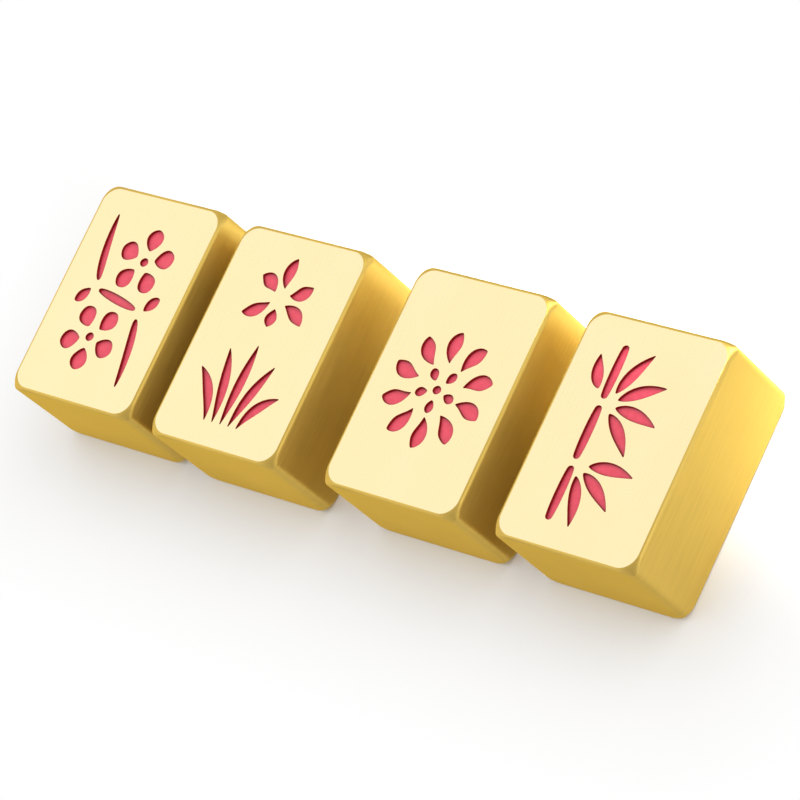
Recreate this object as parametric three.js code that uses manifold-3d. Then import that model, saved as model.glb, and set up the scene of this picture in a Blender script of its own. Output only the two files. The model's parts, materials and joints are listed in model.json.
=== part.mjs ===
// Set of four solid brass mahjong tiles. Each face is engraved with one of the four flowers
// (plum, orchid, chrysanthemum, bamboo) and each engraved pocket holds a pool of red enamel.
// Millimetres. +X runs along the row, +Y towards the top of the faces, +Z up.
// The origin lies on the table, under the middle of the row.

import * as THREE from "three";
import { ConvexGeometry } from "three/addons/geometries/ConvexGeometry.js";
import { mergeVertices } from "three/addons/utils/BufferGeometryUtils.js";
import Module from "manifold-3d";

// Driving dimensions of a tile
const tileWidth = 25;
const tileLength = 35.5;
const tileThickness = 16.8;
const cornerRadius = 3.2; // corners of the face and of the base
const edgeRadius = 1.3; // upright edges
const cornerDrop = 1; // height over which a corner of the face is knocked off down to its upright edge
const rimRadius = 0.3; // rounding round the face and round the base

// Driving dimensions of the row: clear space between neighbours, and how far each tile is out of line
const plumToOrchid = 4.7;
const orchidToChrysanthemum = 9.3;
const chrysanthemumToBamboo = 6.7;
const plumStagger = 0.35;
const orchidStagger = -0.35;
const chrysanthemumStagger = -0.1;
const bambooStagger = -0.2;

// Driving dimensions of the engraving and of the enamel in it
const engravingDepth = 0.9;
const enamelThickness = 0.5;
const enamelSideGap = 0.05; // between a pool and the walls of its pocket
const enamelEndGap = 0.12; // the same at the two ends of a stroke
const faceMargin = 4.2; // bare brass round the engraved field

// Plum: two blossoms, each with a heart, a twig and a bud, and a branch between them
const plumPetals = 5;
const plumRadius = 5.6;
const plumPetalStart = 1.9; // from the blossom's centre to where its petals begin
const plumPetalWidth = 3.1;
const plumHeartRadius = 0.75;
const plumShift = 1.7; // sideways place of a blossom's centre
const twigWidth = 1.4;
const twigBow = 0.4;
const budWidth = 1.9;
const budBow = 0.15;

// Orchid: one bloom over a tuft of long leaves
const sepalLength = 5;
const orchidPetalLength = 4.2;
const lipLength = 3;
const orchidHeart = 1.7; // from the bloom's centre to where its petals begin
const orchidRaise = 0.6; // of the bloom's centre over the middle of the face's upper half
const sepalWidth = 2.1;
const orchidPetalWidth = 2.3;
const orchidBow = 0.45;
const grassWidth = 1.7;
const grassSpacing = 1.6; // between the feet of two leaves
const grassBow = 0.9;

// Chrysanthemum: two rings of petals round a heart
const outerPetals = 10;
const bloomRadius = 9.2;
const outerPetalLength = 4.9;
const outerPetalWidth = 2.4;
const outerPetalBow = 0.5;
const innerPetals = 5;
const innerPetalStart = 1.6;
const innerPetalLength = 2.1;
const innerPetalWidth = 1.4;
const bloomHeartRadius = 0.7;

// Bamboo: a jointed stalk with leaves at its joints
const stalkPlace = 4.4; // how far the stalk stands left of the middle
const stalkWidth = 1.5;
const stalkSections = 3;
const stalkJoint = 1; // bare brass at a joint
const bambooLeafWidth = 1.9;
const bambooLeafBow = 0.35;
const upperLeafLength = 7.6;
const lowerLeafLength = 7.6;
const sideLeafLength = 5.4;
const leafStalk = 1.9; // from a joint to where its leaves begin
const leafSpread = 36; // degrees between neighbouring leaves
const lowestUpperLeaf = -46; // degrees, 0 points right
const lowestLowerLeaf = -72;
const sideLeafAngle = 112;

// Shapes of a brush stroke: the share of its length where it is widest, and how full it is towards its ends,
// from 0 for a bar to 1 for a blade
const roundDot = { belly: 0.5, fullness: 0.5 };
const roundPetal = { belly: 0.58, fullness: 0.55 };
const slenderPetal = { belly: 0.55, fullness: 0.8 };
const curledPetal = { belly: 0.6, fullness: 0.7 };
const budShape = { belly: 0.55, fullness: 0.6 };
const twigShape = { belly: 0.35, fullness: 0.6 };
const branchShape = { belly: 0.5, fullness: 0.4 };
const grassShape = { belly: 0.52, fullness: 0.9 };
const bambooLeafShape = { belly: 0.42, fullness: 0.9 };
const stalkShape = { belly: 0.5, fullness: 0.2 };

// Colours and finish
const brassMaterial = new THREE.MeshStandardMaterial({ color: 0xd9b45a, roughness: 0.35, metalness: 1 });
const enamelMaterial = new THREE.MeshStandardMaterial({ color: 0xc9364f, roughness: 0.3, metalness: 0 });

// Fineness of the facets
const cornerSegments = 4;
const rimSegments = 4;
const strokeStations = 10;

// Worked out from the values above
const fieldHalfWidth = tileWidth / 2 - faceMargin;
const fieldHalfLength = tileLength / 2 - faceMargin;
const pocketFloor = tileThickness - engravingDepth;
const upperCentre = fieldHalfLength / 2;

const wasm = await Module();
wasm.setup();

// Solids and booleans

// A closed geometry as a solid that can be cut.
function solidOf(geometry) {
  geometry.deleteAttribute("normal");
  geometry.deleteAttribute("uv");
  const merged = mergeVertices(geometry, 1e-4);
  return new wasm.Manifold(
    new wasm.Mesh({
      numProp: 3,
      vertProperties: merged.attributes.position.array,
      triVerts: new Uint32Array(merged.index.array),
    }),
  );
}

// A solid as a geometry again.
function geometryOf(solid) {
  const mesh = solid.getMesh();
  const geometry = new THREE.BufferGeometry();
  geometry.setAttribute("position", new THREE.BufferAttribute(mesh.vertProperties, 3));
  geometry.setIndex(new THREE.BufferAttribute(mesh.triVerts, 1));
  geometry.computeVertexNormals();
  return geometry;
}

// An outline drawn up from one height to another.
function prism(outline, bottom, top) {
  const settings = { depth: top - bottom, bevelEnabled: false };
  return new THREE.ExtrudeGeometry(new THREE.Shape(outline), settings).translate(0, 0, bottom);
}

// Brush strokes on a face

// A point at an angle in degrees and a distance from a centre.
function polar(centre, angle, distance) {
  const turn = THREE.MathUtils.degToRad(angle);
  return new THREE.Vector2(Math.cos(turn), Math.sin(turn)).multiplyScalar(distance).add(centre);
}

// The outline of one stroke. Its middle line is a parabola from start to end that stands off the straight
// line by bow at its middle. At share s of the way its half width is width / 2 * sin(pi * s^skew)^fullness,
// where skew puts the widest place at share belly. The insets make the same stroke narrower and shorter.
function strokeOutline(stroke, sideInset, endInset) {
  const { start, end, bow, width, belly, fullness } = stroke;
  const along = new THREE.Vector2().subVectors(end, start);
  const aside = new THREE.Vector2(-along.y, along.x).normalize();
  const control = start.clone().lerp(end, 0.5).addScaledVector(aside, 2 * bow);
  const middleLine = new THREE.QuadraticBezierCurve(start, control, end);
  const inset = endInset / middleLine.getLength();
  const skew = Math.log(0.5) / Math.log(belly);
  const left = [];
  const right = [];
  for (let station = 1; station < strokeStations; station++) {
    const share = (1 - Math.cos((Math.PI * station) / strokeStations)) / 2;
    const place = inset + (1 - 2 * inset) * share;
    const point = middleLine.getPoint(place);
    const tangent = middleLine.getTangent(place);
    const normal = new THREE.Vector2(-tangent.y, tangent.x);
    const halfWidth = (width / 2 - sideInset) * Math.sin(Math.PI * share ** skew) ** fullness;
    left.unshift(point.clone().addScaledVector(normal, halfWidth));
    right.push(point.clone().addScaledVector(normal, -halfWidth));
  }
  return [middleLine.getPoint(inset), ...right, middleLine.getPoint(1 - inset), ...left];
}

// A fan of like strokes round a centre, one every step degrees from a first angle on.
function fan(name, { centre, count, first, step, inner, length, ...look }) {
  const strokes = [];
  for (let i = 0; i < count; i++) {
    const angle = first + i * step;
    const start = polar(centre, angle, inner);
    const end = polar(centre, angle, inner + length);
    strokes.push({ name: name + "_" + (i + 1), start, end, ...look });
  }
  return strokes;
}

// A round dot, as the shortest of strokes.
function dot(name, centre, radius) {
  const start = polar(centre, 90, radius);
  const end = polar(centre, 270, radius);
  return { name, start, end, bow: 0, width: 2 * radius, ...roundDot };
}

// A point of the engraved field, in shares of its half width and half length.
function fieldPoint(across, along) {
  return new THREE.Vector2(across * fieldHalfWidth, along * fieldHalfLength);
}

// The four flowers

// Half of the plum: side 1 is the upper half, side -1 the same half turned upside down.
function plumHalf(place, side) {
  const centre = new THREE.Vector2(side * plumShift, side * upperCentre);
  const petals = fan("plum_" + place + "_petal", {
    centre,
    count: plumPetals,
    first: side * 90,
    step: 360 / plumPetals,
    inner: plumPetalStart,
    length: plumRadius - plumPetalStart,
    bow: 0,
    width: plumPetalWidth,
    ...roundPetal,
  });
  const twig = {
    name: "plum_" + place + "_twig",
    start: fieldPoint(-0.64 * side, 0.16 * side),
    end: fieldPoint(-0.9 * side, 0.98 * side),
    bow: twigBow,
    width: twigWidth,
    ...twigShape,
  };
  const bud = {
    name: "plum_" + place + "_bud",
    start: fieldPoint(-0.72 * side, 0.05 * side),
    end: fieldPoint(-0.97 * side, -0.13 * side),
    bow: budBow,
    width: budWidth,
    ...budShape,
  };
  return [...petals, dot("plum_" + place + "_heart", centre, plumHeartRadius), twig, bud];
}

function plum() {
  const branch = {
    name: "plum_branch",
    start: fieldPoint(0.52, -0.06),
    end: fieldPoint(-0.52, 0.06),
    bow: 0,
    width: twigWidth,
    ...branchShape,
  };
  return [...plumHalf("upper", 1), ...plumHalf("lower", -1), branch];
}

// The bloom has three sepals, two petals between the upper ones and a short lip below.
function orchidBloom() {
  const centre = new THREE.Vector2(0, upperCentre + orchidRaise);
  const bloom = { centre, step: 120, inner: orchidHeart, ...slenderPetal };
  const sepals = { count: 3, first: 90, length: sepalLength, width: sepalWidth, bow: orchidBow };
  const petals = { count: 2, first: 30, length: orchidPetalLength, width: orchidPetalWidth, bow: -orchidBow };
  const lip = { count: 1, first: 270, length: lipLength, width: sepalWidth, bow: 0 };
  return [
    ...fan("orchid_sepal", { ...bloom, ...sepals }),
    ...fan("orchid_petal", { ...bloom, ...petals }),
    ...fan("orchid_lip", { ...bloom, ...lip }),
  ];
}

// Each leaf of the tuft: the point where its tip lies, in shares of the field.
function orchidLeaves() {
  const tips = [
    fieldPoint(-0.98, -0.42),
    fieldPoint(-0.55, -0.14),
    fieldPoint(0.03, -0.03),
    fieldPoint(0.6, -0.22),
    fieldPoint(1, -0.55),
  ];
  const middle = (tips.length - 1) / 2;
  return tips.map((end, i) => ({
    name: "orchid_leaf_" + (i + 1),
    start: fieldPoint(0, -1).add(new THREE.Vector2((i - middle) * grassSpacing, 0)),
    end,
    bow: (grassBow * (i - middle)) / middle,
    width: grassWidth,
    ...grassShape,
  }));
}

function orchid() {
  return [...orchidBloom(), ...orchidLeaves()];
}

function chrysanthemum() {
  const centre = new THREE.Vector2(0, 0);
  const outer = fan("chrysanthemum_outer_petal", {
    centre,
    count: outerPetals,
    first: 90,
    step: 360 / outerPetals,
    inner: bloomRadius - outerPetalLength,
    length: outerPetalLength,
    bow: outerPetalBow,
    width: outerPetalWidth,
    ...curledPetal,
  });
  const inner = fan("chrysanthemum_inner_petal", {
    centre,
    count: innerPetals,
    first: 90 + 180 / innerPetals,
    step: 360 / innerPetals,
    inner: innerPetalStart,
    length: innerPetalLength,
    bow: 0,
    width: innerPetalWidth,
    ...roundPetal,
  });
  return [...outer, ...inner, dot("chrysanthemum_heart", centre, bloomHeartRadius)];
}

// The stalk runs the whole length of the field, in equal sections with a joint between them.
function bamboo() {
  const sectionLength = (2 * fieldHalfLength - (stalkSections - 1) * stalkJoint) / stalkSections;
  const joint = (number) => -fieldHalfLength + number * (sectionLength + stalkJoint) - stalkJoint / 2;
  const stalk = [];
  for (let i = 0; i < stalkSections; i++) {
    const foot = joint(i) + stalkJoint / 2;
    stalk.push({
      name: "bamboo_stalk_" + (i + 1),
      start: new THREE.Vector2(-stalkPlace, foot),
      end: new THREE.Vector2(-stalkPlace, foot + sectionLength),
      bow: 0,
      width: stalkWidth,
      ...stalkShape,
    });
  }
  const leaf = {
    step: leafSpread,
    inner: leafStalk,
    width: bambooLeafWidth,
    bow: bambooLeafBow,
    ...bambooLeafShape,
  };
  const rightOf = (number) => new THREE.Vector2(-stalkPlace + stalkWidth / 2, joint(number));
  const leftOf = (number) => new THREE.Vector2(-stalkPlace - stalkWidth / 2, joint(number));
  const upper = { centre: rightOf(2), count: 4, first: lowestUpperLeaf, length: upperLeafLength };
  const lower = { centre: rightOf(1), count: 3, first: lowestLowerLeaf, length: lowerLeafLength };
  const side = { centre: leftOf(2), count: 1, first: sideLeafAngle, length: sideLeafLength };
  return [
    ...stalk,
    ...fan("bamboo_upper_leaf", { ...leaf, ...upper }),
    ...fan("bamboo_lower_leaf", { ...leaf, ...lower }),
    ...fan("bamboo_side_leaf", { ...leaf, ...side }),
  ];
}

// Pieces of a tile

// Points of the block's outline at a depth below its face, or as high above its base. The corners go over
// from cornerRadius to edgeRadius on the way in, and the rim's rounding sets the outline back by inset.
function outlineAt(depth, inset) {
  const share = Math.min(depth / cornerDrop, 1);
  const radius = THREE.MathUtils.lerp(cornerRadius, edgeRadius, share);
  const points = [];
  for (let corner = 0; corner < 4; corner++) {
    const diagonal = polar(new THREE.Vector2(), 90 * corner + 45, 1);
    const centre = new THREE.Vector2(
      Math.sign(diagonal.x) * (tileWidth / 2 - radius),
      Math.sign(diagonal.y) * (tileLength / 2 - radius),
    );
    for (let i = 0; i <= cornerSegments; i++) {
      const { x, y } = polar(centre, 90 * (corner + i / cornerSegments), radius - inset);
      points.push(new THREE.Vector3(x, y, depth), new THREE.Vector3(x, y, tileThickness - depth));
    }
  }
  return points;
}

// The uncut block: the hull of its outlines, with a quarter round on both rims.
function blankBlock() {
  const points = outlineAt(cornerDrop, 0);
  for (let i = 0; i <= rimSegments; i++) {
    const turn = (Math.PI / 2) * (i / rimSegments);
    points.push(...outlineAt(rimRadius * (1 - Math.sin(turn)), rimRadius * (1 - Math.cos(turn))));
  }
  return new ConvexGeometry(points);
}

// The block with a pocket for each stroke. A cutter stands above the face, so the face opens cleanly.
function engravedBlock(strokes) {
  let block = solidOf(blankBlock());
  for (const stroke of strokes) {
    const cutter = prism(strokeOutline(stroke, 0, 0), pocketFloor, tileThickness + engravingDepth);
    block = block.subtract(solidOf(cutter));
  }
  return geometryOf(block);
}

// The enamel in one pocket: it lies on the pocket's floor, inside its walls.
function enamelPool(stroke) {
  const outline = strokeOutline(stroke, enamelSideGap, enamelEndGap);
  return prism(outline, pocketFloor, pocketFloor + enamelThickness);
}

function namedMesh(name, geometry, material) {
  const mesh = new THREE.Mesh(geometry, material);
  mesh.name = name;
  return mesh;
}

function tile(name, strokes) {
  const group = new THREE.Group();
  group.add(namedMesh(name + "_block", engravedBlock(strokes), brassMaterial));
  for (const stroke of strokes) {
    group.add(namedMesh(stroke.name, enamelPool(stroke), enamelMaterial));
  }
  return group;
}

// The row, with its middle over the origin
const row = [
  { name: "plum", strokes: plum(), spaceBefore: 0, stagger: plumStagger },
  { name: "orchid", strokes: orchid(), spaceBefore: plumToOrchid, stagger: orchidStagger },
  {
    name: "chrysanthemum",
    strokes: chrysanthemum(),
    spaceBefore: orchidToChrysanthemum,
    stagger: chrysanthemumStagger,
  },
  { name: "bamboo", strokes: bamboo(), spaceBefore: chrysanthemumToBamboo, stagger: bambooStagger },
];
const spaces = row.reduce((sum, { spaceBefore }) => sum + spaceBefore, 0);
const rowLength = row.length * tileWidth + spaces;

const tiles = new THREE.Group();
let leftSide = -rowLength / 2;
for (const { name, strokes, spaceBefore, stagger } of row) {
  const placed = tile(name, strokes);
  leftSide += spaceBefore;
  placed.position.set(leftSide + tileWidth / 2, stagger, 0);
  leftSide += tileWidth;
  tiles.add(placed);
}

export default tiles;
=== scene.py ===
"""Looks of a row of four loose brass mahjong tiles with red enamel in their engraved faces."""

import json
import math

import bpy
import numpy as np
from mathutils import Matrix, Vector
from mathutils.geometry import delaunay_2d_cdt


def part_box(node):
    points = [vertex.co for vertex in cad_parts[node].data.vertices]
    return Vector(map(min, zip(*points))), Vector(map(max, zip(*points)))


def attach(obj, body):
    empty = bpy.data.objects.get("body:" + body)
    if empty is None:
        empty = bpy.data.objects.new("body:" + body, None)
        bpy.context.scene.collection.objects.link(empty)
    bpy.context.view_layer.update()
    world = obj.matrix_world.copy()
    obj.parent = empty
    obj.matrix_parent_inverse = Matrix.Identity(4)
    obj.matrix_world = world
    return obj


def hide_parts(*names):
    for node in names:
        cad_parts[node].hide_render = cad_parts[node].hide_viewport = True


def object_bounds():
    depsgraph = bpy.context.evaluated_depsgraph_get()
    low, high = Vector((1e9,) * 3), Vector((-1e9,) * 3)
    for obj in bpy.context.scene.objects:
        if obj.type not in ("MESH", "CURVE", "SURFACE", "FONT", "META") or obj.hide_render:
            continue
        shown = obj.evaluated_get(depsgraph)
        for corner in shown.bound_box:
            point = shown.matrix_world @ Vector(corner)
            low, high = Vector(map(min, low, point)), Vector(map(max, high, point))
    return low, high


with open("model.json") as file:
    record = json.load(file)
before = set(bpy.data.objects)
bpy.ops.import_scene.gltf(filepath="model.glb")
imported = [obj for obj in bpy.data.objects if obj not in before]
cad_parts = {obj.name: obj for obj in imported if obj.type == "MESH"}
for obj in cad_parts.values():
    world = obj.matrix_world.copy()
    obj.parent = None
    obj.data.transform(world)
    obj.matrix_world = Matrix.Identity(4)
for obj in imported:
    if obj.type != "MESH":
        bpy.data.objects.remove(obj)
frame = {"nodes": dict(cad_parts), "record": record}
CAD_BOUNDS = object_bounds()

bl_info = {
    "name": "Brass Mahjong Tiles",
    "version": (1, 0, 0),
    "blender": (4, 5, 0),
    "location": "3D View > Sidebar > Tiles",
    "description": "Brass tile blocks, their red enamel and the studio they are shown in",
    "category": "Object",
}

BLOCK_ENDING = "_block"
BODIES = frame["record"]["behaviour"]["bodies"]

MILLIMETRE = 0.001

# Number of steps that the curves are drawn with
CORNER_STEPS = 20
RIM_STEPS = 8
POCKET_RIM_STEPS = 4
OUTLINE_STEPS = 4
POOL_ROWS = 13
FLOOR_ROWS = 3

# How close two heights, and two places in millimetres, are to count as one
SAME_HEIGHT = 0.001 * MILLIMETRE
SAME_PLACE = 1e-7
PLACE_DIGITS = 7

# The values between which most of a blotchy pattern lies, and how finely its grain is drawn
BLOTCH_LOW = 0.3
BLOTCH_HIGH = 0.7
GRAIN_DETAIL = 3.0

ENAMEL_IOR = 1.5
WHITE = (1.0, 1.0, 1.0, 1.0)


def linear(code, alpha=1.0):
    """Linear colour of an sRGB hex code such as #d65866."""
    channels = [int(code[place:place + 2], 16) / 255 for place in (1, 3, 5)]
    return (*[((c + 0.055) / 1.055) ** 2.4 if c > 0.04045 else c / 12.92 for c in channels], alpha)


def length(name, description, millimetres):
    """A length setting, given in millimetres and kept in metres."""
    metres = millimetres * MILLIMETRE
    return bpy.props.FloatProperty(
        name=name, description=description, default=metres, unit="LENGTH", precision=5
    )


def factor(name, description, default, top=1.0):
    """A plain setting from nothing up to a top value."""
    return bpy.props.FloatProperty(
        name=name, description=description, default=default, min=0.0, max=top
    )


def turn(name, description, degrees):
    """An angle setting, given in degrees."""
    return bpy.props.FloatProperty(
        name=name, description=description, default=math.radians(degrees), subtype="ANGLE"
    )


def colour(name, description, code):
    """A colour setting, given as an sRGB hex code."""
    return bpy.props.FloatVectorProperty(
        name=name,
        description=description,
        default=linear(code),
        size=4,
        min=0.0,
        max=1.0,
        subtype="COLOR",
    )


class TileBrassSettings(bpy.types.PropertyGroup):
    """Sizes and finish of the brass blocks."""

    corner_radius: length("Corner radius", "Corners of the face and of the base", 3.2)
    edge_radius: length("Edge radius", "How far the rounding of an upright edge reaches", 1.85)
    edge_power: factor("Edge power", "Power of the edge's curve, 2 for a circle", 3.0, 10.0)
    corner_drop: length("Corner drop", "Height over which a corner is knocked off", 1.0)
    crease: length("Crease", "Height of the soft crease below a knocked-off corner", 0.08)
    rim_radius: length("Rim radius", "Rounding where the sides meet the face and the base", 0.5)
    pocket_gap: length("Pocket gap", "From a pool in the frame to its pocket's wall", 0.05)
    pocket_rim: length("Pocket rim", "Rounding of the edge where a pocket breaks the face", 0.05)
    # Painted highlight: the faces get paler brass than the sides, though both are one brass
    face_highlight_colour: colour("Face colour", "Lapped brass of the faces, with a painted highlight", "#e3d2a6")
    # Painted shade and reflection: the sides get deeper, more golden brass than the faces
    side_shade_colour: colour("Side colour", "Brushed brass of the sides and base, with painted shade", "#dbba5e")
    edge_tint: colour("Edge tint", "What brass keeps of the light that glances off it", "#f0d38c")
    # Painted shade: the pocket walls' dark colour is partly an enamel stain and partly shade in the
    # recess
    stain_and_shade_colour: colour("Stain and shade colour", "Enamel stain and painted shade on the pocket walls", "#9e1218")
    face_roughness: factor("Face roughness", "Roughness of the lapped faces", 0.27)
    side_roughness: factor("Side roughness", "Roughness of the brushed sides", 0.46)
    filed_roughness: factor("Filed roughness", "Roughness of the knocked-off corners", 0.55)
    grain: length("Grain", "Spacing of the brushed grain", 0.22)
    grain_length: length("Grain length", "Length of one stroke of the brushed grain", 9.0)


class TileEnamelSettings(bpy.types.PropertyGroup):
    """Sizes and finish of the enamel pools."""

    gap: length("Wall gap", "How far a pool reaches outside its outline in the frame", 0.04)
    meniscus: length("Meniscus", "How high the enamel climbs at the pocket wall", 0.06)
    meniscus_reach: length("Meniscus reach", "How far from the wall the climb fades out", 0.22)
    # Painted shade: the enamel darkens towards the pocket walls, where shade falls in the corner
    border: length("Border", "How far from the wall the dark border fades out", 0.16)
    border_shade_colour: colour("Border colour", "Painted shade of the enamel along the walls", "#8a0e16")
    colour: colour("Colour", "Enamel colour", "#f24d65")
    deep_colour: colour("Deep colour", "Enamel colour where it lies thick", "#e63b53")
    roughness: factor("Roughness", "Roughness of the enamel", 0.38)


class TileStageSettings(bpy.types.PropertyGroup):
    """Floor, light and camera."""

    floor_colour: colour("Floor colour", "Colour of the floor", "#f2f2f2")
    floor_size: length("Floor size", "Side of the square floor", 6000)
    floor_fade: length("Floor fade", "From the row to where its shadow is all white", 28)
    left_wall: factor("Left wall", "Brightness of the wall on the left of the row", 0.9, 100.0)
    right_wall: factor("Right wall", "Brightness of the wall on the right of the row", 1.9, 100.0)
    end_walls: factor("End walls", "Brightness of the walls before and behind the row", 0.75, 100.0)
    ceiling: factor("Ceiling", "Brightness of the ceiling over the row", 0.6, 100.0)
    wall_power: factor("Wall power", "How fast they darken away from their middles", 4.0, 20.0)
    room: factor("Room", "Brightness of the rest of the room", 0.3, 10.0)
    softbox: factor("Softbox", "Brightness of the softbox that the faces mirror", 0.72, 100.0)
    softbox_width: length("Softbox width", "Level side of the softbox", 2400)
    softbox_height: length("Softbox height", "Other side of the softbox", 1200)
    lamp_distance: length("Lamp distance", "Distance of softbox and window from the row", 1200)
    softbox_azimuth: turn("Softbox azimuth", "Direction of the softbox, from +Y towards +X", -85)
    softbox_elevation: turn("Softbox elevation", "Height of the softbox above the floor", 47)
    window: factor("Window", "Brightness of the window behind the row on the right", 0.9, 100.0)
    window_size: length("Window size", "Side of the window", 1200)
    window_azimuth: turn("Window azimuth", "Direction of the window, from +Y towards +X", 45)
    window_elevation: turn("Window elevation", "Height of the window above the floor", 38)
    spot: factor("Spot", "What the spot adds to a white floor in its pool of light", 2.2, 10.0)
    spot_distance: length("Spot distance", "Distance of the spot from the row", 1200)
    spot_azimuth: turn("Spot azimuth", "Direction of the spot, from +Y towards +X", 9)
    spot_elevation: turn("Spot elevation", "Height of the spot above the floor", 45)
    spot_cone: turn("Spot cone", "Full angle of the spot's cone", 50)
    spot_blend: factor("Spot blend", "Softness of the edge of the spot's pool of light", 0.05)
    spot_radius: length("Spot radius", "Radius of the spot's lens", 12)
    spot_aside: length("Spot aside", "From the row's middle right to the aim of the pool's edge", 30)
    spot_edge: length("Spot edge", "From the row's middle back to the edge of the pool of light", -1.5)
    lens: factor("Lens", "Focal length of the camera in millimetres", 183.57, 1000.0)
    azimuth: turn("Azimuth", "Direction that the camera looks in, from +Y towards +X", -71.35)
    elevation: turn("Elevation", "How far the camera looks down", 49.06)
    roll: turn("Roll", "How far the camera is tilted about its own axis", -50.40)
    distance: length("Distance", "From the camera to the point that it looks at", 592.5)
    target: bpy.props.FloatVectorProperty(
        name="Target",
        description="Point that the camera looks at",
        default=(3.90 * MILLIMETRE, -0.63 * MILLIMETRE, 8.4 * MILLIMETRE),
        subtype="TRANSLATION",
        unit="LENGTH",
    )


# Node helpers

def add(tree, kind, inputs=None, **settings):
    """Adds one node and returns its outputs. Inputs give a value or a link for each socket, by its
    identifier, and settings are the node's own choices."""
    made = tree.nodes.new(kind)
    for key, value in settings.items():
        setattr(made, key, value)
    sockets = {socket.identifier: socket for socket in made.inputs}
    for key, value in (inputs or {}).items():
        if isinstance(value, bpy.types.NodeSocket):
            tree.links.new(value, sockets[key])
        else:
            sockets[key].default_value = value
    return {socket.identifier: socket for socket in made.outputs}


def new_material(name):
    """An empty node material; returns it and its tree."""
    material = bpy.data.materials.new(name)
    material.use_nodes = True
    material.node_tree.nodes.clear()
    return material, material.node_tree


def blotches(tree, size, detail=2.0):
    """A pattern of soft blotches that have about the given length along each axis."""
    place = add(tree, "ShaderNodeTexCoord")["Object"]
    scale = tuple(1 / part for part in size)
    scaled = add(tree, "ShaderNodeMapping", {"Vector": place, "Scale": scale})["Vector"]
    pattern = {"Vector": scaled, "Scale": 1.0, "Detail": detail}
    return add(tree, "ShaderNodeTexNoise", pattern)["Fac"]


def ranged(value, low, high, start=BLOTCH_LOW, end=BLOTCH_HIGH):
    """Inputs that take a value from start..end to low..high."""
    return {"Value": value, "From Min": start, "From Max": end, "To Min": low, "To Max": high}


def between(amount, first, second):
    """Inputs that go from a first colour to a second by an amount."""
    return {"Factor_Float": amount, "A_Color": first, "B_Color": second}


def dimmed(tone, shares):
    """A colour of which each channel keeps its share."""
    return (*[part * share for part, share in zip(tone, shares)], 1.0)


# Materials

def brushed_brass_with_shade(settings):
    """Sides and base: long fine grain round the block, which handling has rubbed away in soft
    clouds. The grain stretches every reflection upright. Their colour is deeper and more golden than
    the faces' brass as painted shade and painted reflection."""
    cloud_size = 11 * MILLIMETRE
    rubbed_share = 0.6
    streak_shares = (0.86, 0.86, 0.86)
    unevenness = 0.04
    material, tree = new_material("brushed brass with painted shade")
    # Real grain is about 0.05 mm, finer than a pixel, so it is drawn coarser
    along = settings.grain_length
    grain = blotches(tree, (along, along, settings.grain), GRAIN_DETAIL)
    cloud = blotches(tree, (cloud_size, cloud_size, cloud_size))
    stroke = add(tree, "ShaderNodeMapRange", ranged(grain, 0.0, 1.0))["Result"]
    rubbed = add(tree, "ShaderNodeMapRange", ranged(cloud, 0.0, rubbed_share))["Result"]
    # The side colour holds painted shade and painted reflection, deeper than the faces' brass
    plain = settings.side_shade_colour
    streaks = between(stroke, dimmed(plain, streak_shares), plain)
    streaked = add(tree, "ShaderNodeMix", streaks, data_type="RGBA")["Result_Color"]
    clouds = between(rubbed, streaked, plain)
    base = add(tree, "ShaderNodeMix", clouds, data_type="RGBA")["Result_Color"]
    rough = settings.side_roughness
    swing = ranged(grain, rough - unevenness, rough + unevenness)
    brushed = add(tree, "ShaderNodeMapRange", swing)["Result"]
    filed = add(tree, "ShaderNodeAttribute", attribute_name="filed")["Fac"]
    matt = {"Value": filed, "Value_001": settings.filed_roughness - rough, "Value_002": brushed}
    bump = {"Height": grain, "Strength": 0.03, "Distance": 0.04 * MILLIMETRE}
    tangent = add(tree, "ShaderNodeTangent", direction_type="RADIAL", axis="Z")["Tangent"]
    shader = add(tree, "ShaderNodeBsdfPrincipled", {
        "Base Color": base,
        "Metallic": 1.0,
        "Specular Tint": settings.edge_tint,
        "Roughness": add(tree, "ShaderNodeMath", matt, operation="MULTIPLY_ADD")["Value"],
        "Anisotropic": 0.88,
        "Anisotropic Rotation": 0.25,
        "Tangent": tangent,
        "Normal": add(tree, "ShaderNodeBump", bump)["Normal"],
    })["BSDF"]
    add(tree, "ShaderNodeOutputMaterial", {"Surface": shader})
    return material


def lapped_brass_with_highlight(settings):
    """Faces: satin brass, nearly plain, with a faint lengthwise grain and soft clouds. Its colour is
    paler than the sides' brass as a painted highlight.
    """
    cloud_size = (9 * MILLIMETRE, 12 * MILLIMETRE, 10 * MILLIMETRE)
    cloud_shares = (0.99, 0.985, 0.94)
    unevenness = 0.02
    any_height = 1.0
    material, tree = new_material("lapped brass with painted highlight")
    grain = blotches(tree, (settings.grain, settings.grain_length, any_height), GRAIN_DETAIL)
    cloud = blotches(tree, cloud_size)
    pale = add(tree, "ShaderNodeMapRange", ranged(cloud, 0.0, 1.0))["Result"]
    # The face colour holds a painted highlight, paler than the sides' brass
    clouds = between(pale, dimmed(settings.face_highlight_colour, cloud_shares), settings.face_highlight_colour)
    rough = settings.face_roughness
    swing = ranged(grain, rough - unevenness, rough + unevenness)
    bump = {"Height": grain, "Strength": 0.012, "Distance": 0.03 * MILLIMETRE}
    shader = add(tree, "ShaderNodeBsdfPrincipled", {
        "Base Color": add(tree, "ShaderNodeMix", clouds, data_type="RGBA")["Result_Color"],
        "Metallic": 1.0,
        "Roughness": add(tree, "ShaderNodeMapRange", swing)["Result"],
        "Normal": add(tree, "ShaderNodeBump", bump)["Normal"],
    })["BSDF"]
    add(tree, "ShaderNodeOutputMaterial", {"Surface": shader})
    return material


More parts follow.
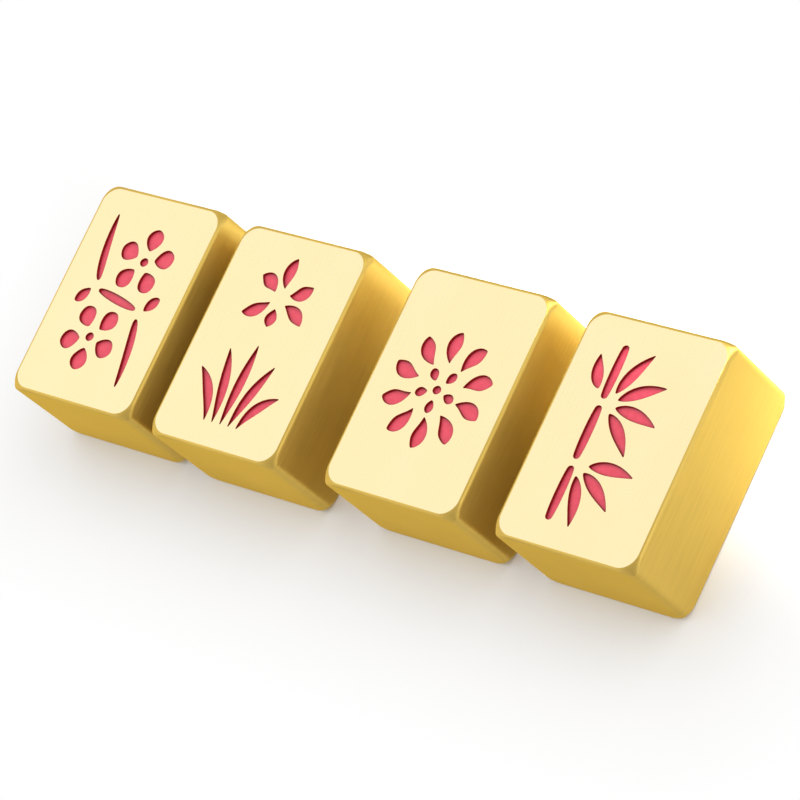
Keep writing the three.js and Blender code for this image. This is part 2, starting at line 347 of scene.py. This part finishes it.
def stained_shaded_brass(settings):
    """Pocket walls: cut brass under a thin dark film of enamel, which draws each stroke's dark
    edge; its dark colour is partly enamel stain and partly painted shade in the recess. The cutter has
    left fine chatter marks."""
    chatter_size = (0.6 * MILLIMETRE, 0.6 * MILLIMETRE, 0.2 * MILLIMETRE)
    thick_shares = (0.55, 0.55, 0.55)
    smooth, rough = 0.45, 0.6
    material, tree = new_material("stained brass with painted shade")
    chatter = blotches(tree, chatter_size)
    thin = add(tree, "ShaderNodeMapRange", ranged(chatter, 0.0, 1.0))["Result"]
    # The stain colour is partly enamel stain and partly painted shade in the recess
    film = between(thin, dimmed(settings.stain_and_shade_colour, thick_shares), settings.stain_and_shade_colour)
    shader = add(tree, "ShaderNodeBsdfPrincipled", {
        "Base Color": add(tree, "ShaderNodeMix", film, data_type="RGBA")["Result_Color"],
        "Roughness": add(tree, "ShaderNodeMapRange", ranged(chatter, smooth, rough))["Result"],
        "IOR": ENAMEL_IOR,
        "Specular IOR Level": 0.2,
    })["BSDF"]
    add(tree, "ShaderNodeOutputMaterial", {"Surface": shader})
    return material


def red_enamel(settings):
    """Pools: soft-gloss red enamel, a little mottled and rippled, with a dark border of painted
    shade along the walls."""
    mottle_size = 1.1 * MILLIMETRE
    mottle_detail = 4.0
    ripple_size = 0.4 * MILLIMETRE
    unevenness = 0.06
    material, tree = new_material("red enamel")
    mottle = blotches(tree, (mottle_size, mottle_size, mottle_size), mottle_detail)
    ripple = blotches(tree, (ripple_size, ripple_size, ripple_size))
    light = add(tree, "ShaderNodeMapRange", ranged(mottle, 0.0, 1.0))["Result"]
    depths = between(light, settings.deep_colour, settings.colour)
    body = add(tree, "ShaderNodeMix", depths, data_type="RGBA")["Result_Color"]
    # Painted shade: the enamel turns dark along the pocket walls
    border = add(tree, "ShaderNodeAttribute", attribute_name="border")["Fac"]
    shade_edged = between(border, body, settings.border_shade_colour)
    swing = ranged(mottle, settings.roughness - unevenness, settings.roughness + unevenness)
    bump = {"Height": ripple, "Strength": 0.12, "Distance": 0.06 * MILLIMETRE}
    shader = add(tree, "ShaderNodeBsdfPrincipled", {
        "Base Color": add(tree, "ShaderNodeMix", shade_edged, data_type="RGBA")["Result_Color"],
        "Roughness": add(tree, "ShaderNodeMapRange", swing)["Result"],
        "IOR": ENAMEL_IOR,
        "Normal": add(tree, "ShaderNodeBump", bump)["Normal"],
    })["BSDF"]
    add(tree, "ShaderNodeOutputMaterial", {"Surface": shader})
    return material


def pale_floor(settings):
    """Floor: matt pale board with a hardly visible tooth, which fades into white away from the
    row."""
    tooth_size = 4 * MILLIMETRE
    tooth_detail = 4.0
    tooth_shares = (0.985, 0.985, 0.985)
    material, tree = new_material("pale board")
    tooth = blotches(tree, (tooth_size, tooth_size, tooth_size), tooth_detail)
    paper = between(tooth, dimmed(settings.floor_colour, tooth_shares), settings.floor_colour)
    board = add(tree, "ShaderNodeBsdfPrincipled", {
        "Base Color": add(tree, "ShaderNodeMix", paper, data_type="RGBA")["Result_Color"],
        "Roughness": 0.9,
        "IOR": 1.3,
    })["BSDF"]
    white = add(tree, "ShaderNodeEmission", {"Color": WHITE, "Strength": 1.0})["Emission"]
    # Distance from the row's rectangle: what of the place lies beyond it, along X and along Y
    place = add(tree, "ShaderNodeTexCoord")["Object"]
    half_row = tuple(abs(side) for side in CAD_BOUNDS[1][:2]) + (0.0,)
    offset = add(tree, "ShaderNodeVectorMath", {"Vector": place}, operation="ABSOLUTE")["Vector"]
    for operation, other in (("SUBTRACT", half_row), ("MAXIMUM", (0.0, 0.0, 0.0))):
        pair = {"Vector": offset, "Vector_001": other}
        offset = add(tree, "ShaderNodeVectorMath", pair, operation=operation)["Vector"]
    distance = add(tree, "ShaderNodeVectorMath", {"Vector": offset}, operation="LENGTH")["Value"]
    faded = ranged(distance, 0.0, 1.0, 0.0, settings.floor_fade)
    fade = add(tree, "ShaderNodeMapRange", faded)["Result"]
    # Only what looks at the floor sees the white; the light that the floor gives off stays as it is
    path = add(tree, "ShaderNodeLightPath")
    looks = path["Is Camera Ray"]
    for ray in ("Is Glossy Ray", "Is Transmission Ray"):
        either = {"Value": looks, "Value_001": path[ray]}
        looks = add(tree, "ShaderNodeMath", either, operation="MAXIMUM")["Value"]
    both = {"Value": looks, "Value_001": fade}
    amount = add(tree, "ShaderNodeMath", both, operation="MULTIPLY")["Value"]
    layers = {"Fac": amount, "Shader": board, "Shader_001": white}
    shader = add(tree, "ShaderNodeMixShader", layers)["Shader"]
    add(tree, "ShaderNodeOutputMaterial", {"Surface": shader})
    return material


# Shapes

def outline_of(node):
    """Corners of a pool's upper face in the frame, in order round it from one of its two tips: the
    edges that only one triangle has, followed from corner to corner."""
    mesh = frame["nodes"][node].data
    points = np.empty(3 * len(mesh.vertices))
    mesh.vertices.foreach_get("co", points)
    mesh.calc_loop_triangles()
    corners = np.empty(3 * len(mesh.loop_triangles), int)
    mesh.loop_triangles.foreach_get("vertices", corners)
    triangles = points.reshape(-1, 3)[corners].reshape(-1, 3, 3)
    level = triangles[..., 2].max()
    upper = triangles[np.all(np.isclose(triangles[..., 2], level, atol=SAME_HEIGHT), axis=1)]
    flat = np.round(upper[..., :2].reshape(-1, 2), PLACE_DIGITS)
    places, index = np.unique(flat, axis=0, return_inverse=True)
    start = index.reshape(-1, 3)
    end = np.roll(start, -1, axis=1)
    count = len(places)
    border = ~np.isin(start * count + end, end * count + start)
    following = np.empty(count, int)
    following[start[border]] = end[border]
    order = np.zeros(1, int)
    while len(order) < count:
        order = np.concatenate([order, following[order]])
        following = following[following]
    loop = places[order[:count]]
    across = np.linalg.norm(loop - np.roll(loop, count // 2, axis=0), axis=1)
    return np.roll(loop, -int(np.argmax(across)), axis=0)


def smooth_outline(node):
    """Closed curve through a pool's corners: between two corners a cubic whose slope at each is half
    the step between that corner's neighbours."""
    corners = outline_of(node)
    share = (np.arange(OUTLINE_STEPS) / OUTLINE_STEPS)[None, :, None]
    shifted = [np.roll(corners, shift, axis=0)[:, None] for shift in (1, 0, -1, -2)]
    before, here, after, beyond = shifted
    curve = (
        2 * here
        + (after - before) * share
        + (2 * before - 5 * here + 4 * after - beyond) * share ** 2
        + (3 * here - before - 3 * after + beyond) * share ** 3
    ) / 2
    return curve.reshape(-1, 2)


def outward(loop):
    """Unit vectors out of a counterclockwise closed curve: its tangents, turned clockwise by a right
    angle."""
    tangent = np.roll(loop, -1, axis=0) - np.roll(loop, 1, axis=0)
    normal = np.stack([tangent[:, 1], -tangent[:, 0]], axis=1)
    return normal / np.linalg.norm(normal, axis=1, keepdims=True)


def corner_curves(power):
    """Points of a rounded rectangle's four corners on the curve |x|^power + |y|^power = 1, the unit
    vectors square to it, and the signs of the corner that each point belongs to."""
    quarter = np.linspace(0, math.pi / 2, CORNER_STEPS + 1)
    angles = quarter[None, :] + np.arange(4)[:, None] * math.pi / 2
    signs = np.repeat([(1, 1), (-1, 1), (-1, -1), (1, -1)], CORNER_STEPS + 1, axis=0)
    circle = np.stack([np.cos(angles), np.sin(angles)], axis=-1).reshape(-1, 2)
    reach = np.abs(circle) ** (2 / power)
    across = reach ** (power - 1)
    out = across / np.linalg.norm(across, axis=1, keepdims=True)
    return signs * reach, signs * out, signs


def ring_quads(rings, count):
    """Quads between closed rings of count points, ring after ring."""
    ring = np.arange(rings - 1)[:, None] * count
    here = np.arange(count)[None, :]
    following = (here + 1) % count
    corners = [ring + here, ring + following, ring + count + following, ring + count + here]
    return np.stack(corners, axis=-1).reshape(-1, 4)


def grid_quads(grid):
    """Quads between the neighbours in a grid of point numbers."""
    corners = [grid[:-1, :-1], grid[1:, :-1], grid[1:, 1:], grid[:-1, 1:]]
    return np.stack(corners, axis=-1).reshape(-1, 4)


def ladder(count):
    """Quads across a closed curve whose tips are points 0 and count / 2, and a triangle at each
    tip."""
    half = count // 2
    step = np.arange(1, half - 1)
    quads = np.stack([step, step + 1, count - step - 1, count - step], axis=1)
    return quads, np.array([(0, 1, count - 1), (half - 1, half, half + 1)])


def face_with_holes(border, holes):
    """Triangles of the flat face between its border and the pocket outlines in it: those that lie
    inside the border alone."""
    loops = [border, *holes]
    points = np.concatenate(loops) / MILLIMETRE
    places = np.split(np.arange(len(points)), np.cumsum([len(loop) for loop in loops[:-1]]))
    corners = [Vector(point) for point in points.tolist()]
    outlines = [place.tolist() for place in places]
    inside_only = 1
    made, _, faces, sources, _, owners = delaunay_2d_cdt(
        corners, [], outlines, inside_only, SAME_PLACE
    )
    if len(made) != len(points):
        raise RuntimeError("two pocket outlines on a face run into each other")
    source = np.array([found[0] for found in sources])
    solid = [face for face, loops_round in zip(faces, owners) if list(loops_round) == [0]]
    triangles = source[np.array(solid)]
    first, second, third = (points[triangles[:, corner]] for corner in range(3))
    turn_way = np.cross(second - first, third - first)
    triangles[turn_way < 0] = triangles[turn_way < 0][:, ::-1]
    return triangles


def add_piece(name, points, normals, parts, body, node):
    """Makes a mesh piece. Each of its parts is a material with a list of face arrays, and each point
    has its normal."""
    mesh = bpy.data.meshes.new(name)
    arrays = [(place, faces) for place, (_, group) in enumerate(parts) for faces in group]
    listed = [face for _, faces in arrays for face in faces.tolist()]
    mesh.from_pydata(points.tolist(), [], listed)
    for material, _ in parts:
        mesh.materials.append(material)
    which = np.concatenate([np.full(len(faces), place) for place, faces in arrays])
    mesh.polygons.foreach_set("material_index", which.astype(np.int32))
    mesh.shade_smooth()
    mesh.normals_split_custom_set_from_vertices(normals.tolist())
    piece = bpy.data.objects.new(name, mesh)
    bpy.context.scene.collection.objects.link(piece)
    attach(piece, body)
    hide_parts(node)
    return piece


def mark_points(piece, name, values):
    """Gives a piece's first points a value that its material reads, and the others none of it."""
    whole = np.zeros(len(piece.data.vertices), np.float32)
    whole[:len(values)] = values
    piece.data.attributes.new(name, "FLOAT", "POINT").data.foreach_set("value", whole)


def block_skin(settings, lower, upper):
    """Outside of a block, in rings from the rim of its base up to the border of its face. The outline
    of face and base has round corners, and that of the upright part has squarer edges. Over the corner
    drop each point goes from one to the other along a straight line, which knocks the corner off. The
    rim follows a quarter circle: point = outline - rim * (1 - cos(tilt)) * outward, at the depth
    rim * (1 - sin(tilt)). Returns the points and normals of the rings, and how filed each point is."""
    rim, drop, crease = settings.rim_radius, settings.corner_drop, settings.crease
    round_curve, round_out, signs = corner_curves(2.0)
    edge_curve, edge_out, _ = corner_curves(settings.edge_power)
    middle, half = (lower + upper)[:2] / 2, (upper - lower)[:2] / 2
    corner, edge = settings.corner_radius, settings.edge_radius
    round_line = middle + signs * (half - corner) + corner * round_curve
    edge_line = middle + signs * (half - edge) + edge * edge_curve
    tilt = np.append(np.linspace(math.pi / 2, 0, RIM_STEPS + 1), (0, 0))
    depth = np.append(rim * (1 - np.sin(tilt[:-2])), (drop - crease / 2, drop + crease / 2))
    share = np.clip(depth / drop, 0, 1)[:, None, None]
    out = (1 - share) * round_out + share * edge_out
    out /= np.linalg.norm(out, axis=2, keepdims=True)
    inset = (rim * (1 - np.cos(tilt)))[:, None, None]
    flat = (1 - share) * round_line + share * edge_line - inset * out
    leaning = np.append(np.full(RIM_STEPS + 2, 1.0), 0.0)[:, None]
    lean = leaning * np.sum((edge_line - round_line) * out, axis=2) / drop
    rise = np.cos(tilt)[:, None] * lean + np.sin(tilt)[:, None]
    level = np.cos(tilt)[:, None, None] * out
    filed = lean / lean.max()
    height = np.broadcast_to(depth[:, None], rise.shape)
    below = np.dstack([flat, lower[2] + height])
    above = np.dstack([flat, upper[2] - height])[::-1]
    normals = np.concatenate([np.dstack([level, -rise]), np.dstack([level, rise])[::-1]])
    normals /= np.linalg.norm(normals, axis=2, keepdims=True)
    filed = np.concatenate([filed, filed[::-1]]).reshape(-1)
    return np.concatenate([below, above]), normals, filed


def pocket_rings(settings, loop, top, floor, fill):
    """Wall of one pocket: the profile (outset, height) leaves the face, rounds the pocket's edge in a
    quarter circle, and drops to the enamel and on to the pocket floor. It is carried round the
    pocket's outline."""
    rim = settings.pocket_rim
    quarter = np.linspace(0, math.pi / 2, POCKET_RIM_STEPS + 1)
    outset = np.concatenate([rim * (1 - np.sin(quarter)), [0, 0]])
    height = np.concatenate([top - rim * (1 - np.cos(quarter)), [fill - rim, floor]])
    rise = np.concatenate([np.cos(quarter), [0, 0]])
    away = outward(loop)
    flat = loop[None] + outset[:, None, None] * away[None]
    level = -np.sqrt(1 - rise ** 2)[:, None, None] * away[None]
    height, rise = (np.broadcast_to(row[:, None], flat.shape[:2]) for row in (height, rise))
    return np.dstack([flat, height]), np.dstack([level, rise])


def build_block(settings, materials, body, block, pools):
    """One engraved block: skin, base, face with holes, and a wall and floor for every pocket."""
    lower, upper = (np.array(corner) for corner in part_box(block))
    skin, skin_normals, filed = block_skin(settings, lower, upper)
    rings, count = skin.shape[:2]
    points = [skin.reshape(-1, 3)]
    normals = [skin_normals.reshape(-1, 3)]
    sides = [ring_quads(rings, count), np.arange(count)[::-1][None, :]]
    border = (rings - 1) * count + np.arange(count)
    rims = [border]
    walls = []
    first = rings * count
    for node in pools:
        pool_lower, pool_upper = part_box(node)
        loop = smooth_outline(node)
        loop = loop + settings.pocket_gap * outward(loop)
        wall, wall_normals = pocket_rings(settings, loop, upper[2], pool_lower.z, pool_upper.z)
        depth, around = wall.shape[:2]
        points.append(wall.reshape(-1, 3))
        normals.append(wall_normals.reshape(-1, 3))
        rims.append(first + np.arange(around))
        walls.append(ring_quads(depth, around) + first)
        walls.extend(faces + first + (depth - 1) * around for faces in ladder(around))
        first += depth * around
    points = np.concatenate(points)
    loops = [points[rim][:, :2] for rim in rims]
    face = np.concatenate(rims)[face_with_holes(loops[0], loops[1:])]
    parts = list(zip(materials, ([face], sides, walls)))
    name = block.removesuffix(BLOCK_ENDING) + "_brass"
    piece = add_piece(name, points, np.concatenate(normals), parts, body, block)
    mark_points(piece, "filed", filed)
    return piece


def build_pool(settings, material, body, node):
    """One pool of enamel. Its upper surface is P(s, t) = middle(s) + t * half(s), where s runs from tip
    to tip and t from wall to wall, raised by meniscus * exp(-distance to the wall / reach). Its skirt
    drops to the pocket floor along the same outline."""
    lower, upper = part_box(node)
    loop = smooth_outline(node)
    loop = loop + settings.gap * outward(loop)
    count = len(loop)
    half = count // 2
    right = loop[1:half]
    left = loop[:half:-1]
    across = np.linspace(-1, 1, POOL_ROWS)[None, :, None]
    flat = (right + left)[:, None] / 2 + across * (left - right)[:, None] / 2
    width = np.linalg.norm(left - right, axis=1)[:, None] / 2
    from_wall = width * (1 - np.abs(across[..., 0]))
    climb = settings.meniscus * np.exp(-from_wall / settings.meniscus_reach)
    level = upper.z - settings.meniscus
    inner = np.concatenate([flat, (level + climb)[..., None]], axis=2)
    stations = len(right)
    tips = np.array([(*loop[0], upper.z), (*loop[half], upper.z)])
    skirt = np.concatenate([loop, np.full((count, 1), lower.z)], axis=1)
    points = np.concatenate([inner.reshape(-1, 3), tips, skirt])
    grid = np.arange(stations * POOL_ROWS).reshape(stations, POOL_ROWS)
    start, end = stations * POOL_ROWS, stations * POOL_ROWS + 1
    top = grid_quads(grid)
    first_row, last_row = grid[0], grid[-1]
    nose = np.stack([np.full(POOL_ROWS - 1, start), first_row[:-1], first_row[1:]], axis=1)
    tail = np.stack([last_row[1:], last_row[:-1], np.full(POOL_ROWS - 1, end)], axis=1)
    edge = np.concatenate([[start], grid[:, 0], [end], grid[::-1, -1]])
    below = end + 1 + np.arange(count)
    sides = np.stack([below, np.roll(below, -1), np.roll(edge, -1), edge], axis=1)
    under = [faces[:, ::-1] + end + 1 for faces in ladder(count)]
    faces = [top, nose, tail, sides, *under]
    tip_normals = np.tile((0.0, 0.0, 1.0), (len(tips), 1))
    skirt_normals = np.concatenate([outward(loop), np.zeros((count, 1))], axis=1)
    normals = np.concatenate([surface_normals(inner), tip_normals, skirt_normals])
    piece = add_piece(node + "_enamel", points, normals, [(material, faces)], body, node)
    # Painted shade: the border value is 1 at the wall and fades inwards
    shade_near_wall = np.ones(len(points))
    shade_near_wall[:start] = np.exp(-from_wall / settings.border).reshape(-1)
    mark_points(piece, "border", shade_near_wall)
    return piece


def surface_normals(grid):
    """Unit normals of a grid of points: the cross product of its two steps."""
    along = np.gradient(grid, axis=0)
    across = np.gradient(grid, axis=1)
    normal = np.cross(along, across)
    normal /= np.linalg.norm(normal, axis=2, keepdims=True)
    return normal.reshape(-1, 3)


# Stage

def direction(azimuth, elevation):
    """Unit vector at an azimuth from +Y towards +X and an elevation above the floor."""
    level = math.cos(elevation)
    return Vector((level * math.sin(azimuth), level * math.cos(azimuth), math.sin(elevation)))


def add_lamp(data, place, way):
    """Puts a lamp at a place and turns it so that it shines along a way."""
    lamp = bpy.data.objects.new(data.name, data)
    lamp.location = place
    lamp.rotation_euler = way.to_track_quat("-Z", "Y").to_euler()
    bpy.context.scene.collection.objects.link(lamp)
    return lamp


def add_panel(settings, name, brightness, size, way):
    """Flat lamp of a width and a height that faces the row. Its power is pi times its brightness times
    its area, so that brightness 1 shows as white where it is mirrored."""
    data = bpy.data.lights.new(name, "AREA")
    data.shape = "RECTANGLE"
    data.size, data.size_y = size
    data.energy = brightness * math.pi * data.size * data.size_y
    return add_lamp(data, Vector(settings.target) + settings.lamp_distance * way, -way)


def add_softbox(settings):
    """Wide softbox on the left, which the faces mirror into the camera."""
    size = (settings.softbox_width, settings.softbox_height)
    way = direction(settings.softbox_azimuth, settings.softbox_elevation)
    return add_panel(settings, "softbox", settings.softbox, size, way)


def add_window(settings):
    """Square window behind the row on the right, which lights the floor that the right sides mirror."""
    size = (settings.window_size, settings.window_size)
    way = direction(settings.window_azimuth, settings.window_elevation)
    return add_panel(settings, "window", settings.window, size, way)


def add_spot(settings):
    """Spot behind the row and to the right. The near edge of its pool of light runs across the row.
    Its power is 4 * pi^2 times the brightness times the square of its distance."""
    data = bpy.data.lights.new("spot", "SPOT")
    data.spot_size = settings.spot_cone
    data.spot_blend = settings.spot_blend
    data.shadow_soft_size = settings.spot_radius
    strength = settings.spot / math.sin(settings.spot_elevation)
    data.energy = strength * 4 * math.pi ** 2 * settings.spot_distance ** 2
    edge = Vector((settings.spot_aside, settings.spot_edge, 0))
    place = edge + settings.spot_distance * direction(settings.spot_azimuth, settings.spot_elevation)
    dip = settings.spot_elevation + settings.spot_cone / 2
    return add_lamp(data, place, direction(math.pi + settings.spot_azimuth, -dip))


def add_floor(settings):
    """Flat square floor: the points (u, v, 0) for u and v from minus to plus half its size."""
    side = np.linspace(-0.5, 0.5, FLOOR_ROWS) * settings.floor_size
    across, along = np.meshgrid(side, side, indexing="ij")
    points = np.dstack([across, along, np.zeros_like(across)]).reshape(-1, 3)
    quads = grid_quads(np.arange(len(points)).reshape(across.shape))
    mesh = bpy.data.meshes.new("floor")
    mesh.from_pydata(points.tolist(), [], quads.tolist())
    mesh.materials.append(pale_floor(settings))
    floor = bpy.data.objects.new("floor", mesh)
    bpy.context.scene.collection.objects.link(floor)
    return floor


def add_world(settings):
    """White room: its four walls and its ceiling glow most in their middles, and its corners are dim.
    Brightness = room + the sum of wall * |direction along its axis|^power."""
    world = bpy.data.worlds.new("studio")
    world.use_nodes = True
    tree = world.node_tree
    tree.nodes.clear()
    way = add(tree, "ShaderNodeTexCoord")["Generated"]
    axes = add(tree, "ShaderNodeSeparateXYZ", {"Vector": way})
    sides = ranged(axes["X"], settings.left_wall, settings.right_wall, -1.0, 1.0)
    side_walls = add(tree, "ShaderNodeMapRange", sides)["Result"]
    strength = settings.room
    for axis, wall in (("X", side_walls), ("Y", settings.end_walls), ("Z", settings.ceiling)):
        reach = add(tree, "ShaderNodeMath", {"Value": axes[axis]}, operation="ABSOLUTE")["Value"]
        power = {"Value": reach, "Value_001": settings.wall_power}
        share = add(tree, "ShaderNodeMath", power, operation="POWER")["Value"]
        glow = {"Value": share, "Value_001": wall, "Value_002": strength}
        strength = add(tree, "ShaderNodeMath", glow, operation="MULTIPLY_ADD")["Value"]
    sky = add(tree, "ShaderNodeBackground", {"Color": WHITE, "Strength": strength})["Background"]
    add(tree, "ShaderNodeOutputWorld", {"Surface": sky})
    bpy.context.scene.world = world
    return world


def add_camera(settings):
    """The photograph's camera: looks down along the row and is rolled about its own axis."""
    forward = direction(settings.azimuth, -settings.elevation)
    right = forward.cross(Vector((0, 0, 1))).normalized()
    upright = right.cross(forward)
    cosine, sine = math.cos(settings.roll), math.sin(settings.roll)
    axes = (cosine * right + sine * upright, cosine * upright - sine * right, -forward)
    data = bpy.data.cameras.new("camera")
    data.lens = settings.lens
    data.clip_start = 10 * MILLIMETRE
    camera = bpy.data.objects.new("camera", data)
    place = Vector(settings.target) - settings.distance * forward
    camera.matrix_world = Matrix.Translation(place) @ Matrix(axes).transposed().to_4x4()
    bpy.context.scene.collection.objects.link(camera)
    bpy.context.scene.camera = camera
    return camera


class TILES_OT_blocks(bpy.types.Operator):
    """Build the four engraved brass blocks"""

    bl_idname = "tiles.blocks"
    bl_label = "Brass Blocks"

    def execute(self, context):
        settings = context.scene.tile_brass
        materials = (lapped_brass_with_highlight(settings), brushed_brass_with_shade(settings), stained_shaded_brass(settings))
        for body, nodes in BODIES.items():
            block = next(node for node in nodes if node.endswith(BLOCK_ENDING))
            pools = [node for node in nodes if node != block]
            build_block(settings, materials, body, block, pools)
        return {"FINISHED"}


class TILES_OT_enamel(bpy.types.Operator):
    """Fill every engraved pocket with its pool of enamel"""

    bl_idname = "tiles.enamel"
    bl_label = "Enamel Pools"

    def execute(self, context):
        settings = context.scene.tile_enamel
        material = red_enamel(settings)
        for body, nodes in BODIES.items():
            for node in nodes:
                if not node.endswith(BLOCK_ENDING):
                    build_pool(settings, material, body, node)
        return {"FINISHED"}


class TILES_OT_stage(bpy.types.Operator):
    """Set up the floor, the light and the camera"""

    bl_idname = "tiles.stage"
    bl_label = "Stage"

    def execute(self, context):
        settings = context.scene.tile_stage
        add_floor(settings)
        add_world(settings)
        add_camera(settings)
        add_softbox(settings)
        add_window(settings)
        add_spot(settings)
        context.scene.view_settings.view_transform = "Standard"
        return {"FINISHED"}


class TILES_PT_panel(bpy.types.Panel):
    """Settings and steps of the tile row"""

    bl_idname = "TILES_PT_panel"
    bl_label = "Brass Mahjong Tiles"
    bl_space_type = "VIEW_3D"
    bl_region_type = "UI"
    bl_category = "Tiles"

    def draw(self, context):
        steps = (
            (context.scene.tile_brass, TILES_OT_blocks),
            (context.scene.tile_enamel, TILES_OT_enamel),
            (context.scene.tile_stage, TILES_OT_stage),
        )
        for settings, step in steps:
            box = self.layout.box()
            for key in settings.__annotations__:
                box.prop(settings, key)
            box.operator(step.bl_idname)


CLASSES = (
    TileBrassSettings,
    TileEnamelSettings,
    TileStageSettings,
    TILES_OT_blocks,
    TILES_OT_enamel,
    TILES_OT_stage,
    TILES_PT_panel,
)


def register():
    for each in CLASSES:
        bpy.utils.register_class(each)
    bpy.types.Scene.tile_brass = bpy.props.PointerProperty(type=TileBrassSettings)
    bpy.types.Scene.tile_enamel = bpy.props.PointerProperty(type=TileEnamelSettings)
    bpy.types.Scene.tile_stage = bpy.props.PointerProperty(type=TileStageSettings)


def unregister():
    del bpy.types.Scene.tile_stage
    del bpy.types.Scene.tile_enamel
    del bpy.types.Scene.tile_brass
    for each in reversed(CLASSES):
        bpy.utils.unregister_class(each)


def main():
    register()
    bpy.ops.tiles.blocks()
    bpy.ops.tiles.enamel()
    bpy.ops.tiles.stage()


if __name__ == "__main__":
    main()
